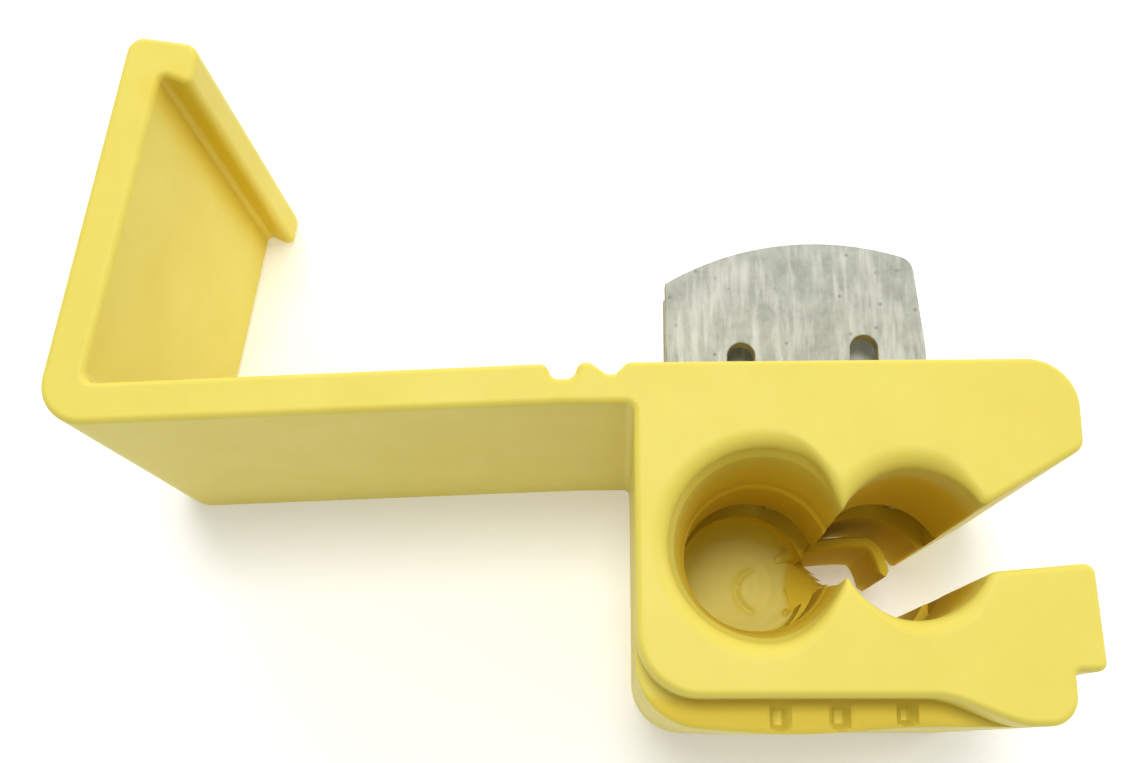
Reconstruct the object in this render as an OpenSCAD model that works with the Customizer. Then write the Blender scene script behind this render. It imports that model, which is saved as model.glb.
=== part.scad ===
// Quick-splice wire connector with a folding snap-down cover, lying on its back face.
// X runs across the two wire ports and Y is the way the contact rises out of the housing.
// Z runs along the wires, from the back face at 0 to the front face.

/* [Housing] */
// Width over the upper jaw
housing_w = 19.1; // [17.5:0.1:24]
// Height from the foot to the top face
housing_h = 15.6; // [14.8:0.1:20]
// Length of the housing along the wires
housing_l = 19.8; // [15:0.1:26]
// Radius of the top right corner
top_radius = 2.2; // [0.5:0.1:2.6]
// Radius of the bottom left corner
bottom_radius = 2.7; // [0.5:0.1:3]
// Radius of the corner of the foot
foot_radius = 1.2; // [0.3:0.1:1.6]

/* [Wire ports] */
// Diameter of the blind port for the tap wire
tap_d = 7.1; // [5.5:0.1:8]
// Diameter of the open channel for the run wire
run_d = 6.5; // [5.4:0.1:7]
// Distance between the axes of the two ports
port_pitch = 6.2; // [5.6:0.1:7]
// Wall between the tap port and the left side
tap_wall = 2.05; // [1.9:0.05:3]
// Floor under the tap port
port_floor = 4.05; // [3.2:0.05:5]
// Depth of the tap port from the front face
tap_depth = 15.3; // [12:0.1:18]
// Depth of the wider first stretch of the tap port
tap_mouth_depth = 4.8; // [2:0.1:6]
// Step in radius between the two stretches of the tap port
tap_step = 0.25; // [0.1:0.05:0.5]
// Diameter of the raised pip at the end of the tap port
pip_d = 3.6; // [1:0.1:5]
// Radius of the rounded rim at the mouth of each port
rim_radius = 0.8; // [0.2:0.05:1.2]

/* [Jaws] */
// Height of the end face of the upper jaw, down from the top face
jaw_end = 4; // [3:0.1:4.6]
// Distance from the run axis to the throat edges
throat_reach = 2.8; // [2.4:0.05:3]
// Height of the upper throat edge above the run axis
throat_up = 1.5; // [1:0.05:2]
// Depth of the lower throat edge below the run axis
throat_down = 1.3; // [0.9:0.05:1.8]
// Rise of the lower jaw from its throat edge to its end
lower_jaw_rise = 0.4; // [0:0.05:0.8]
// How far the lower jaw ends past the upper jaw at the latch ledge
ledge_out = 0.2; // [0:0.05:0.5]
// Width of the ledge that the latch lip hooks under
ledge_step = 1.3; // [0.8:0.05:1.6]
// Height of the underside of the latch ledge above the foot
ledge_h = 2.2; // [1.8:0.05:3]
// Height of the toe recess along the front of the foot
toe_h = 1.18; // [0.6:0.02:1.4]
// Depth of the toe recess behind the front face
toe_depth = 2.4; // [1:0.1:4]
// Distance from the right end of the foot to the start of the toe recess
toe_run_out = 1.6; // [1:0.1:3]
// Number of drain notches in the toe recess
notch_count = 3; // [1:1:4]
// Width of one drain notch
notch_w = 0.75; // [0.4:0.05:1]
// Distance between the drain notches
notch_pitch = 2.8; // [2:0.1:3]
// Distance of the first drain notch to the right of the tap axis
notch_shift = 0.55; // [0:0.05:1]

/* [Folding cover] */
// Thickness of the cover strap and of the cover flap
cover_t = 1.88; // [1.5:0.02:2.4]
// Distance between the two living hinges
hinge_pitch = 2.07; // [1.9:0.01:3]
// Depth of each hinge groove, from the top face to the fold line
hinge_depth = 0.73; // [0.5:0.01:0.9]
// Width of each hinge web at the underside of the strap
web_w = 0.6; // [0.3:0.05:0.9]
// Gap that keeps the groove walls apart when they are folded shut
fold_gap = 0.05; // [0.02:0.01:0.1]
// Distance from the housing to the inner fold line
hinge_offset = 1.02; // [0.9:0.01:1.5]
// Clearance between the closed flap and the latch ledge
flap_gap = 0.85; // [0.4:0.05:1.2]
// Clearance between the closed lip and the underside of the ledge
lip_gap = 0.65; // [0.2:0.05:1]
// Sag of the open strap below the top face, in degrees
strap_sag = 2; // [0:0.5:6]
// Angle between the strap and the flap as moulded, in degrees
corner_angle = 78.6; // [70:0.1:90]
// How far the latch lip reaches inward from the flap
lip_reach = 1.55; // [1:0.05:1.8]
// Thickness of the latch lip
lip_t = 1.75; // [1.2:0.05:2.4]
// Undercut of the hooked tip of the latch lip
lip_hook = 0.4; // [0:0.05:0.6]
// Radius of the two free corners of the latch lip
lip_radius = 0.8; // [0.3:0.05:0.85]

/* [Contact] */
// Thickness of the contact sheet
sheet_t = 0.8; // [0.5:0.05:1]
// Gap between the two contact blades
blade_gap = 1.7; // [1.2:0.1:2.2]
// Distance from the front face of the housing to the front blade
blade_setback = 9.1; // [8.5:0.1:10]
// Width of the contact
contact_w = 13.1; // [12.5:0.1:13.6]
// Distance of the contact to the left of the middle of the two ports
contact_shift = 0.35; // [0:0.05:0.6]
// Height of the contact from its fold to the crown of its top edges
contact_h = 13.6; // [11:0.1:14]
// Height of the crown above the top face of the housing as supplied
contact_up = 8.95; // [8:0.05:9.3]
// Radius of the crowned top edges of the blades
crown_radius = 14.5; // [10:0.5:30]
// Distance of the crown to the right of the middle of the contact
crown_shift = 0.95; // [0:0.05:1.5]
// Radius of the top right corner of each blade
blade_radius = 0.9; // [0.2:0.1:1.5]
// Lean of the upper right side of each blade, in degrees
side_lean = 5.5; // [0:0.5:7]
// Height below the crown at which the right side starts to lean in
side_lean_down = 5.5; // [3:0.5:7]
// Width of the slot that cuts into each wire
slot_w = 1.4; // [0.8:0.1:2]
// Depth of the round end of the tap slot below the crown
tap_slot_down = 5.3; // [4:0.1:7]
// Depth of the round end of the run slot below the crown
run_slot_down = 4.95; // [4:0.1:7]
// How much lower the slots of the rear blade end
rear_slot_drop = 0.6; // [0:0.1:1.5]
// Width added on each side at the mouth of each slot
slot_lead = 0.8; // [0.3:0.1:1.2]
// Gap between the contact and its pocket all round
pocket_gap = 0.15; // [0.1:0.01:0.3]

/* [Retaining finger] */
// Thickness of the finger
finger_t = 0.6; // [0.4:0.05:0.7]
// Gap between the finger and the back face
finger_back = 0.4; // [0.3:0.05:1]
// Gap between the finger and the contact pocket
finger_setback = 0.25; // [0.1:0.05:0.5]
// Direction of the finger's root about the run axis, in degrees from the right
finger_angle = 144; // [140:1:148]
// Length of the finger from its root to its bend
finger_l = 3.45; // [3:0.05:3.6]
// How far the middle of that stretch bows up
finger_bow = 0.15; // [0:0.05:0.3]
// Length of the finger's bent tip
finger_tip = 1.7; // [1:0.1:2]
// Lean of the bent tip toward the throat, in degrees
tip_lean = 10; // [0:1:20]

/* [Hidden] */
$fn = 64;
over = 1;
turn_gap = 0.03;
plastic = "#ecdf7c";
plastic_deep = "#d9c95e";
tin = "#c9cac0";

// Port axes and the throat between the jaws
tap_x = tap_wall + tap_d / 2;
port_y = port_floor + tap_d / 2;
run_x = tap_x + port_pitch;
throat_x = run_x + throat_reach;
ledge_x = housing_w + ledge_out;
foot_x = ledge_x - ledge_step;

// Fold lines, and the height of the strap's inner face over the closed housing
fold_y = housing_h - hinge_depth;
inner_x = -hinge_offset;
outer_x = inner_x - hinge_pitch;
web_y = housing_h - cover_t;
closed_gap = hinge_pitch - 2 * hinge_depth;
strap_l = hinge_offset + ledge_x + flap_gap;
flap_l = housing_h + closed_gap - ledge_h + lip_gap + lip_hook;

// Inner corner between strap and flap, and the lean of the open flap
corner_x = outer_x - strap_l * cos(strap_sag) - hinge_depth * sin(strap_sag);
corner_y = fold_y - strap_l * sin(strap_sag) + hinge_depth * cos(strap_sag);
flap_turn = strap_sag - 90 + corner_angle;

// Contact places as supplied
contact_x = tap_x + port_pitch / 2 - contact_shift;
contact_left = contact_x - contact_w / 2;
contact_right = contact_x + contact_w / 2;
crown_y = housing_h + contact_up;
crown_center = [contact_x + crown_shift, crown_y - crown_radius];
contact_bottom = crown_y - contact_h;
blade_front = housing_l - blade_setback;
fold_radius = blade_gap / 2 + sheet_t;
contact_z = blade_front - fold_radius;
contact_travel = contact_up - 0.15;
pocket_floor = contact_bottom - contact_travel - pocket_gap;

// Finger places: it runs from near the back face to near the contact pocket, with its root just inside
// the wall of the run channel
finger_z = finger_back;
finger_w = contact_z - fold_radius - pocket_gap - finger_setback - finger_z;
root_r = run_d / 2 - finger_t / 4;
finger_root = [run_x, port_y] + root_r * [cos(finger_angle), sin(finger_angle)];

// Lip end in the flap's own axes, and the extent of the whole connector
lip_end = flap_l + lip_t;
x_min = corner_x - cover_t;
lip_corner = [cover_t - lip_radius, lip_end - lip_radius];
y_max = corner_y + lip_corner[1] * cos(flap_turn) - lip_corner[0] * sin(flap_turn) + lip_radius;
origin = [(x_min + ledge_x) / 2, y_max / 2];

// A point turned about the origin
function rotated(p, a) = [p[0] * cos(a) - p[1] * sin(a), p[0] * sin(a) + p[1] * cos(a)];

// Moves the housing's lower left corner to its place about the part's own origin
module place(z = 0) {
    translate([-origin[0], -origin[1], z]) children();
}

// Fills the outside of a square corner at the origin, leaving a round one of radius r
module corner_cut(r) {
    difference() {
        translate([-over, -over]) square(r + over);
        translate([r, r]) circle(r);
    }
}

// A straight bar with round ends between two points
module bar(p, q, t) {
    d = q - p;
    translate(p) rotate(atan2(d[1], d[0])) translate([0, -t / 2]) square([norm(d), t]);
    translate(p) circle(d = t);
    translate(q) circle(d = t);
}

// Front outline of the housing, before the ports are cut
module housing_outline() {
    difference() {
        polygon([
            [0, 0],
            [foot_x, 0],
            [foot_x, ledge_h],
            [ledge_x, ledge_h],
            [housing_w, port_y - throat_down + lower_jaw_rise],
            [throat_x - 0.1, port_y - throat_down],
            [throat_x - throat_reach, port_y],
            [throat_x + 0.1, port_y + throat_up],
            [housing_w, housing_h - jaw_end],
            [housing_w, housing_h],
            [0, housing_h]
        ]);
        corner_cut(bottom_radius);
        translate([foot_x, 0]) mirror([1, 0]) corner_cut(foot_radius);
        translate([housing_w, housing_h]) rotate(180) corner_cut(top_radius);
    }
}

// A port of radius r with rounded rims at the ends named
module port(r, z, l, back_rim) {
    rotate_extrude() difference() {
        union() {
            translate([0, z]) square([r, l]);
            translate([0, z + l - rim_radius]) square([r + rim_radius, rim_radius + over]);
            if (back_rim) translate([0, z - over]) square([r + rim_radius, rim_radius + over]);
        }
        translate([r + rim_radius, z + l - rim_radius]) circle(rim_radius);
        if (back_rim) translate([r + rim_radius, z + rim_radius]) circle(rim_radius);
    }
}

// The blind tap port, stepped once, with a shallow pip left at its end
module tap_port() {
    r = tap_d / 2;
    port(r, housing_l - tap_mouth_depth, tap_mouth_depth, false);
    translate([0, 0, housing_l - tap_depth]) difference() {
        cylinder(r = r - tap_step, h = tap_depth - tap_mouth_depth + turn_gap);
        translate([0, 0, -over]) cylinder(d = pip_d, h = over + 0.5);
    }
}

// Groove wall on the housing side of the inner fold line
module hinge_stub() {
    polygon([
        [0, housing_h],
        [inner_x + hinge_depth + fold_gap, housing_h],
        [inner_x + fold_gap, fold_y],
        [inner_x + web_w / 2, web_y],
        [0, web_y]
    ]);
}

// Recess along the front of the foot, with its run-out to the right, and the drain notches
module toe_recess() {
    end_x = foot_x - toe_run_out;
    notch_inset = 0.15;
    notch_depth = 1.2;
    notch_z = housing_l - toe_depth - notch_depth;
    translate([0, 0, housing_l - toe_depth]) linear_extrude(toe_depth + over) polygon([
        [-over, -over],
        [end_x, -over],
        [end_x, 0],
        [end_x - 1.6, toe_h * 0.65],
        [end_x - 3.6, toe_h],
        [-over, toe_h]
    ]);
    for (i = [0 : notch_count - 1])
        translate([tap_x + notch_shift + i * notch_pitch - notch_w / 2, notch_inset, notch_z])
            cube([notch_w, toe_h - 2 * notch_inset, notch_depth + over]);
}

// Round seat in the wall of the run channel, in which the finger's root turns
module finger_seat() {
    translate([finger_root[0], finger_root[1], finger_z - turn_gap])
        cylinder(r = finger_t / 2 + turn_gap, h = finger_w + 2 * turn_gap);
}

module housing() {
    color(plastic) place() difference() {
        union() {
            linear_extrude(housing_l) housing_outline();
            linear_extrude(housing_l) hinge_stub();
        }
        translate([tap_x, port_y, 0]) tap_port();
        translate([run_x, port_y, 0]) port(run_d / 2, 0, housing_l, true);
        finger_seat();
        translate([contact_left - pocket_gap, pocket_floor, contact_z - fold_radius - pocket_gap])
            cube([contact_w + 2 * pocket_gap, housing_h, 2 * (fold_radius + pocket_gap)]);
        toe_recess();
    }
}

// Web left between the bottom of a hinge groove and the underside of the strap
module hinge_web(x) {
    polygon([
        [x - fold_gap, fold_y],
        [x + fold_gap, fold_y],
        [x + web_w / 2, web_y],
        [x - web_w / 2, web_y]
    ]);
}

module hinge_web_inner() {
    color(plastic_deep) place() linear_extrude(housing_l) hinge_web(inner_x);
}

module hinge_link() {
    color(plastic) place() linear_extrude(housing_l) polygon([
        [inner_x - hinge_depth - fold_gap, housing_h],
        [outer_x + hinge_depth + fold_gap, housing_h],
        [outer_x + fold_gap, fold_y],
        [outer_x + web_w / 2, web_y],
        [inner_x - web_w / 2, web_y],
        [inner_x - fold_gap, fold_y]
    ]);
}

module hinge_web_outer() {
    color(plastic_deep) place() linear_extrude(housing_l) hinge_web(outer_x);
}

// The strap's own axes start at the outer fold line, with the strap running to -X
module cover_strap() {
    color(plastic) place() translate([outer_x, fold_y]) linear_extrude(housing_l) polygon([
        [-fold_gap, 0],
        rotated([-hinge_depth - fold_gap, hinge_depth], strap_sag),
        rotated([-strap_l, hinge_depth], strap_sag),
        rotated([-strap_l, hinge_depth - cover_t], strap_sag),
        [-web_w / 2, hinge_depth - cover_t]
    ]);
}

// Puts the flap's own axes in place: X outward from its inner face, Y up along it
module on_flap() {
    place() translate([corner_x, corner_y]) rotate(flap_turn) mirror([1, 0]) children();
}

// Rounded outer corner between strap and flap, a sector about the inner corner
module corner_web() {
    color(plastic) place() translate([corner_x, corner_y]) linear_extrude(housing_l) intersection() {
        circle(cover_t);
        polygon([
            [0, 0],
            rotated([0, -2 * cover_t], strap_sag),
            rotated([-4 * cover_t, -2 * cover_t], strap_sag),
            rotated([-3 * cover_t, 0], flap_turn)
        ]);
    }
}

module cover_flap() {
    color(plastic) on_flap() cube([cover_t, flap_l, housing_l]);
}

// Hooked lip at the free end of the flap
module latch_lip() {
    color(plastic) on_flap() linear_extrude(housing_l) difference() {
        polygon([
            [cover_t, flap_l],
            [cover_t, lip_end],
            [-lip_reach, lip_end],
            [-lip_reach, flap_l - lip_hook],
            [0, flap_l]
        ]);
        translate([cover_t, lip_end]) rotate(180) corner_cut(lip_radius);
        translate([-lip_reach, lip_end]) rotate(-90) corner_cut(lip_radius);
    }
}

// Outline of one blade with its two wire slots, which end lower by drop
module blade_outline(drop) {
    lean_in = (side_lean_down + over) * tan(side_lean);
    difference() {
        intersection() {
            polygon([
                [contact_left, contact_bottom],
                [contact_right, contact_bottom],
                [contact_right, crown_y - side_lean_down],
                [contact_right - lean_in, crown_y + over],
                [contact_left, crown_y + over]
            ]);
            translate(crown_center) circle(crown_radius);
        }
        blade_corner_cut();
        wire_slot(tap_x, tap_slot_down + drop);
        wire_slot(run_x, run_slot_down + drop);
    }
}

// Rounds the top right corner of a blade with an arc that meets the crown and the leaning side
module blade_corner_cut() {
    outward = [cos(side_lean), sin(side_lean)];
    up = [-sin(side_lean), cos(side_lean)];
    start = [contact_right, crown_y - side_lean_down] - blade_radius * outward - crown_center;
    inner_r = crown_radius - blade_radius;
    climb = sqrt(pow(start * up, 2) - start * start + inner_r * inner_r) - start * up;
    center = crown_center + start + climb * up;
    toward_crown = (center - crown_center) / norm(center - crown_center);
    difference() {
        polygon([
            center,
            center + 4 * blade_radius * toward_crown,
            center + 4 * blade_radius * (toward_crown + outward),
            center + 4 * blade_radius * outward
        ]);
        translate(center) circle(blade_radius);
    }
}

// A slot with a round top and a flared mouth at the fold
module wire_slot(x, down) {
    top = crown_y - down - slot_w / 2;
    half = slot_w / 2;
    translate([x, top]) circle(half);
    translate([x, contact_bottom]) polygon([
        [-half - slot_lead, -over],
        [half + slot_lead, -over],
        [half, 2 * slot_lead],
        [half, top - contact_bottom],
        [-half, top - contact_bottom],
        [-half, 2 * slot_lead]
    ]);
}

// Side view of the folded sheet, height along X: two blades joined by a half-round fold
module contact_section() {
    fold_x = contact_bottom + fold_radius;
    difference() {
        union() {
            translate([fold_x, contact_z - fold_radius]) square([contact_h, 2 * fold_radius]);
            translate([fold_x, contact_z]) circle(fold_radius);
        }
        translate([fold_x, contact_z - blade_gap / 2]) square([contact_h + over, blade_gap]);
        translate([fold_x, contact_z]) circle(blade_gap / 2);
    }
}

module u_contact() {
    color(tin) place() intersection() {
        union() {
            translate([0, 0, contact_z]) linear_extrude(fold_radius) blade_outline(0);
            translate([0, 0, contact_z - fold_radius])
                linear_extrude(fold_radius) blade_outline(rear_slot_drop);
        }
        translate([contact_left - over, 0, 0]) rotate([90, 0, 90])
            linear_extrude(contact_w + 2 * over) contact_section();
    }
}

// Springy finger that hangs into the run channel and holds the wire there
module retaining_finger() {
    middle = finger_root + [0.65 * finger_l, finger_bow];
    bend = finger_root + [finger_l, 0];
    tip = bend + finger_tip * [sin(tip_lean), -cos(tip_lean)];
    color(plastic_deep) place(finger_z) linear_extrude(finger_w) {
        bar(finger_root, middle, finger_t);
        bar(middle, bend, finger_t);
        bar(bend, tip, finger_t);
    }
}

housing();
hinge_web_inner();
hinge_link();
hinge_web_outer();
cover_strap();
corner_web();
cover_flap();
latch_lip();
u_contact();
retaining_finger();
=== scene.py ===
import bmesh
import bpy
import numpy as np
from mathutils import Matrix, Vector


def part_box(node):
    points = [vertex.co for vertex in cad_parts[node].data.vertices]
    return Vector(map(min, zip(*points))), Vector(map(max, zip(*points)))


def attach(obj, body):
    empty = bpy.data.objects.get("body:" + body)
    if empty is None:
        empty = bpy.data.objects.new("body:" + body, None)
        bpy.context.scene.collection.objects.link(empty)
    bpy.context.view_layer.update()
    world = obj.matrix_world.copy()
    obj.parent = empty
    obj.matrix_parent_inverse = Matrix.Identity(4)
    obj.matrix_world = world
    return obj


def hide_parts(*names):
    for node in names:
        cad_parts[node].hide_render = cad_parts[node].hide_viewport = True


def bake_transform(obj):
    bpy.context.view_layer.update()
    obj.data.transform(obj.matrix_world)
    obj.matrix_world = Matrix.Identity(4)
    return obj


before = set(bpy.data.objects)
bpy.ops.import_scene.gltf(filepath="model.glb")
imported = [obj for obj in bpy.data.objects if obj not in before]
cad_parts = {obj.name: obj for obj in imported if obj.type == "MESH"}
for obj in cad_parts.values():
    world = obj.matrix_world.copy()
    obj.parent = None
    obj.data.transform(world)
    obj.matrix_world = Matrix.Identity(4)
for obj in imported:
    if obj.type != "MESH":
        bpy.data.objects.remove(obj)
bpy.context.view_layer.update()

# Lengths are in millimetres, measured from the housing's lower left back corner: x across the ports,
# y the way the contact rises, z along the wires. inRow moves them to the row's own place, in metres.
millimetre = 0.001
housingShape = {
    "width": 19.1, "height": 15.6, "length": 19.8,
    "ledgeX": 19.3, "footX": 18.0, "ledgeY": 2.2,
    "cornerRadii": {"topRight": 2.2, "bottomLeft": 2.7, "foot": 1.2, "jawTip": 0.7, "small": 0.38,
                    "hingeEdge": 0.42, "underLedge": 0.2, "lowerJaw": 0.45},
    "upperJawEnd": 4.0, "upperThroat": (14.7, 9.1), "lowerJawY": 6.7, "lowerThroat": (14.5, 6.3),
    "jawsX": 14.0, "footStep": 0.12,
    "edgeRound": 0.3, "backRound": 0.3,
}

# Strap, hinges and flap share one section. Its places are the groove walls, the lines where one piece
# meets the next, and the flap's own axes.
coverShape = {
    "thickness": 1.88, "hingeDepth": 0.73, "housingEdge": (-0.26, 15.6), "innerCut": (-0.72, 15.122),
    "innerFold": (-1.02, 14.87), "outerFold": (-3.09, 14.87), "webHalf": 0.3,
    "grooves": [(-0.78, 15.06, 0.2), (-1.17, 15.06, 0.3), (-1.88, 15.60, 0.4), (-2.38, 15.62, 0.4),
                (-2.62, 14.87, 0.45), (-3.56, 14.87, 0.45), (-3.84, 15.56, 0.4)],
    "sagDegrees": 2.0, "cornerDegrees": 78.6, "strapLength": 21.17, "flapLength": 15.06,
    "lipReach": 1.55, "lipThickness": 1.75, "lipHook": 0.4, "lipRadius": 0.8, "lipTip": 0.36,
    "innerCornerRadius": 0.45, "lipRootRadius": 0.3, "underRadius": 3.0, "cornerCut": 0.8,
    "edgeRound": 0.3, "lipCrease": (-21.33, 28.77),
}

housingLow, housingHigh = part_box("housing")
originX = housingHigh[0] / millimetre - housingShape["ledgeX"]
originY = housingLow[1] / millimetre


def inRow(points):
    # Moves millimetres from the housing's corner to metres in the row
    return (np.asarray(points, float) + [originX, originY, 0.0]) * millimetre


def smoothStep(value, low, high):
    # 3t^2 - 2t^3, with t running from 0 at low to 1 at high
    t = np.clip((np.asarray(value, float) - low) / (high - low), 0.0, 1.0)
    return t * t * (3.0 - 2.0 * t)


def addCamera():
    # Above the connector and a little to its -Y side, looking down on the front face
    right = Vector((0.99946, 0.00015, -0.03299))
    forward = Vector((-0.03223, 0.21718, -0.97560))
    up = Vector((0.00701, 0.97613, 0.21707))
    place = Matrix((right, up, -forward)).transposed().to_4x4()
    place.translation = Vector((2.550, -16.726, 74.147)) * millimetre
    camera = bpy.data.objects.new("camera", bpy.data.cameras.new("camera"))
    bpy.context.scene.collection.objects.link(camera)
    camera.matrix_world = place
    camera.data.lens, camera.data.sensor_width = 40.93, 36.0
    camera.data.shift_y = 0.06862
    camera.data.clip_start, camera.data.clip_end = 0.001, 10.0
    bpy.context.scene.camera = camera


def toLinear(hexColour):
    # sRGB hex to linear light: v / 12.92 in the darkest tones, ((v + 0.055) / 1.055)^2.4 above them
    values = np.array([int(hexColour[i:i + 2], 16) for i in (1, 3, 5)]) / 255.0
    linear = np.where(values <= 0.04045, values / 12.92, ((values + 0.055) / 1.055) ** 2.4)
    return (*linear.tolist(), 1.0)


def addNode(tree, kind, settings=None, links=None):
    # Adds one node; a setting is a property or an input, and a link joins an output to an input
    node = tree.nodes.new(kind)
    for name, value in (settings or {}).items():
        if isinstance(name, str) and hasattr(node, name):
            setattr(node, name, value)
        else:
            node.inputs[name].default_value = value
    for name, output in (links or {}).items():
        tree.links.new(output, node.inputs[name])
    return node


def newMaterial(name):
    material = bpy.data.materials.new(name)
    material.use_nodes = True
    material.node_tree.nodes.clear()
    return material, material.node_tree


def addArea(name, place, target, size, power):
    light = bpy.data.lights.new(name, "AREA")
    light.shape, light.size, light.energy = "DISK", size, power
    lamp = bpy.data.objects.new(name, light)
    bpy.context.scene.collection.objects.link(lamp)
    away = Vector(place) - Vector(target)
    lamp.location = place
    lamp.rotation_euler = away.to_track_quat("Z", "Y").to_euler()


# Softboxes, in metres: where each stands, its width and its power in watts
lights = {
    "keySoftbox": ((-0.01, 0.065, 0.46), 0.13, 1.0),
    "topSoftbox": ((-0.12, 0.34, 0.20), 0.30, 0.6),
    "sideSoftbox": ((0.34, 0.10, 0.18), 0.26, 0.4),
}
studio = {"aim": (0.0, 0.0, 0.01), "floorHalf": 4.0, "floorDrop": 0.0001, "floorGlow": 0.24,
          "skyGlow": 0.42}


def addStudio():
    half = studio["floorHalf"]
    mesh = bpy.data.meshes.new("floor")
    corners = [(-half, -half, 0.0), (half, -half, 0.0), (half, half, 0.0), (-half, half, 0.0)]
    mesh.from_pydata(np.add(corners, (0.0, 0.0, -studio["floorDrop"])).tolist(), [], [(0, 1, 2, 3)])
    floor = bpy.data.objects.new("floor", mesh)
    bpy.context.scene.collection.objects.link(floor)
    material, tree = newMaterial("whitePaper")    # matt sheet, bright enough to lose most of the shadow
    sheet = addNode(tree, "ShaderNodeBsdfPrincipled", {
        "Base Color": toLinear("#f6f6f4"), "Roughness": 0.9, "Specular IOR Level": 0.1,
        "Emission Color": toLinear("#ffffff"), "Emission Strength": studio["floorGlow"]})
    addNode(tree, "ShaderNodeOutputMaterial", None, {"Surface": sheet.outputs["BSDF"]})
    mesh.materials.append(material)
    world = bpy.data.worlds.new("studio")
    world.use_nodes = True
    world.node_tree.nodes["Background"].inputs["Color"].default_value = toLinear("#fbfaf6")
    world.node_tree.nodes["Background"].inputs["Strength"].default_value = studio["skyGlow"]
    bpy.context.scene.world = world
    for name, (place, size, power) in lights.items():
        addArea(name, place, studio["aim"], size, power)
    bpy.context.scene.view_settings.view_transform = "Standard"


addCamera()
addStudio()
print("stage ready")


def mouldedPolypropylene():
    # Yellow polypropylene, injection moulded in a lightly spark-eroded tool: a waxy, satin face with
    # faint clouds. In the ports, the toe recess and the lip's crease, where the shade attribute is high,
    # the colour is mixed towards a duller, more golden yellow: painted shade for the dim light between the
    # walls.
    material, tree = newMaterial("mouldedPolypropylene")
    place = addNode(tree, "ShaderNodeTexCoord").outputs["Object"]
    cloud = addNode(tree, "ShaderNodeTexNoise", {"Scale": 1 / (4.0 * millimetre), "Detail": 3.0},
                    {"Vector": place})    # flow clouds, 4 mm
    fleck = addNode(tree, "ShaderNodeTexNoise", {"Scale": 1 / (0.7 * millimetre), "Detail": 2.0},
                    {"Vector": place})    # pigment flecks, 0.7 mm
    shade = addNode(tree, "ShaderNodeMix", {"data_type": "RGBA", 0: 0.5, 6: toLinear("#e8d963"),
                                            7: toLinear("#e2d056")}, {0: cloud.outputs["Fac"]})
    colour = addNode(tree, "ShaderNodeMix", {"data_type": "RGBA", "blend_type": "MULTIPLY", 0: 0.25},
                     {6: shade.outputs[2], 7: fleck.outputs["Color"]})
    softened = addNode(tree, "ShaderNodeMix", {"data_type": "RGBA", 0: 0.16},
                       {6: shade.outputs[2], 7: colour.outputs[2]})
    # Painted shade: how much of the golden shade colour each vertex takes
    deep = addNode(tree, "ShaderNodeAttribute", {"attribute_name": "paintedShadeAmount"})
    withPaintedShade = addNode(tree, "ShaderNodeMix", {"data_type": "RGBA", 7: toLinear("#e0c233")},
                     {0: deep.outputs["Fac"], 6: softened.outputs[2]})
    gloss = addNode(tree, "ShaderNodeMapRange", {"To Min": 0.40, "To Max": 0.56},
                    {"Value": cloud.outputs["Fac"]})
    unpolished = addNode(tree, "ShaderNodeMath", {"operation": "MULTIPLY", 1: 0.9},
                         {0: deep.outputs["Fac"]})
    rough = addNode(tree, "ShaderNodeMath", {"operation": "MAXIMUM"},
                    {0: gloss.outputs["Result"], 1: unpolished.outputs["Value"]})
    grain = addNode(tree, "ShaderNodeTexNoise", {"Scale": 1 / (0.16 * millimetre), "Detail": 2.0},
                    {"Vector": place})    # tool grain, 0.16 mm
    wave = addNode(tree, "ShaderNodeTexNoise", {"Scale": 1 / (2.2 * millimetre), "Detail": 1.0},
                   {"Vector": place})    # slow ripple of the walls, 2.2 mm
    rippled = addNode(tree, "ShaderNodeBump", {"Strength": 0.5, "Distance": 0.06 * millimetre},
                      {"Height": wave.outputs["Fac"]})
    grained = addNode(tree, "ShaderNodeBump", {"Strength": 0.35, "Distance": 0.012 * millimetre},
                      {"Height": grain.outputs["Fac"], "Normal": rippled.outputs["Normal"]})
    surface = addNode(tree, "ShaderNodeBsdfPrincipled", {
        "IOR": 1.49, "Specular IOR Level": 0.3},
        {"Base Color": withPaintedShade.outputs[2], "Roughness": rough.outputs["Value"],
         "Normal": grained.outputs["Normal"]})
    addNode(tree, "ShaderNodeOutputMaterial", None, {"Surface": surface.outputs["BSDF"]})
    return material


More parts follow.
